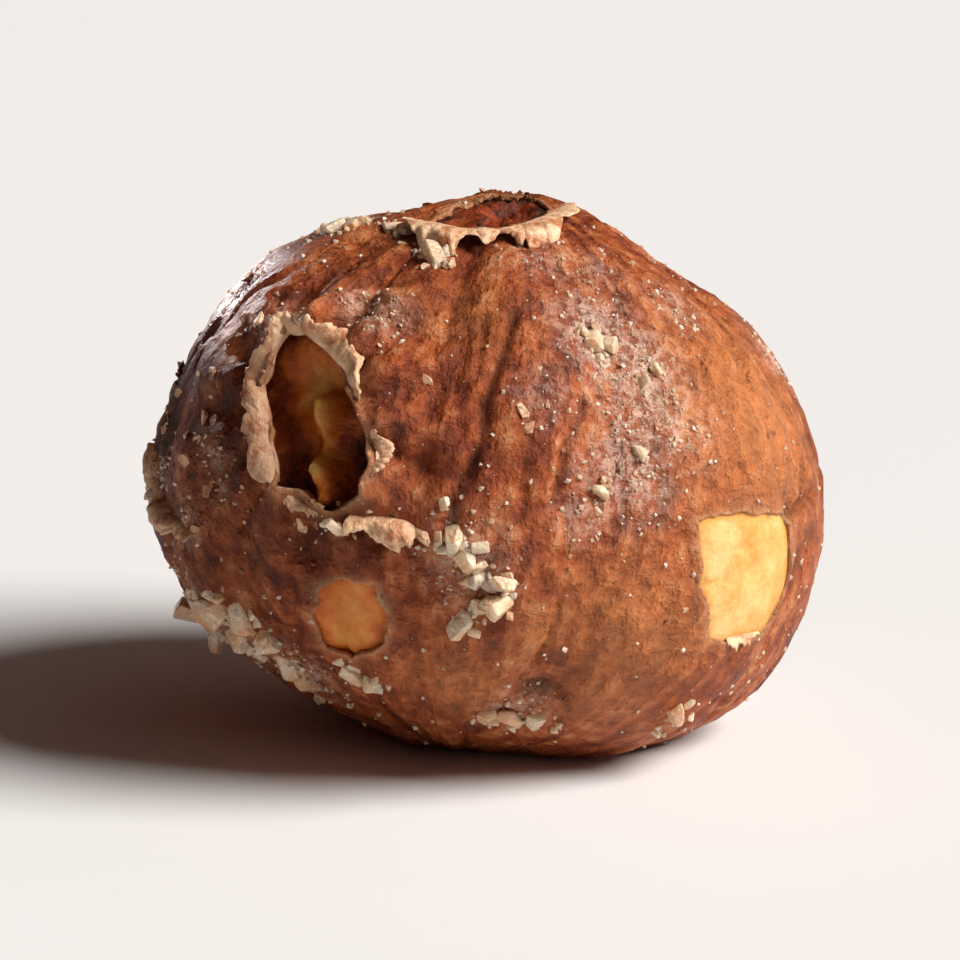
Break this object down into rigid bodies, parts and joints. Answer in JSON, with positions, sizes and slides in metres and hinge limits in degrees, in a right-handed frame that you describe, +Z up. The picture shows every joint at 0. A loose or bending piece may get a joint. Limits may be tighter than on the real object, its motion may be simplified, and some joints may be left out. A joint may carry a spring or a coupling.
{
  "type": "hazelnut",
  "caption": "Roasted, salted hazelnut kernel in torn brown skin, with bare cream patches and stuck salt grains, resting on a small flat spot.",
  "frame": {"origin": "on the table under the middle of the kernel's box; the flat spot it rests on lies in the plane z = 0", "axes": "+Z up, +X to the picture's right along the kernel's widest way, +Y away from the picture's camera"},
  "size_m": [0.0148, 0.0143, 0.0115],
  "materials": {
    "skin": "papery, fibrous roasted nut skin, matt with a faint oily sheen",
    "kernel": "smooth, oily cream nut flesh, satin",
    "salt": "translucent off-white crystals, slightly rough"
  },
  "bodies": {
    "root": {"hazelnut": "skin"}
  },
  "joints": []
}
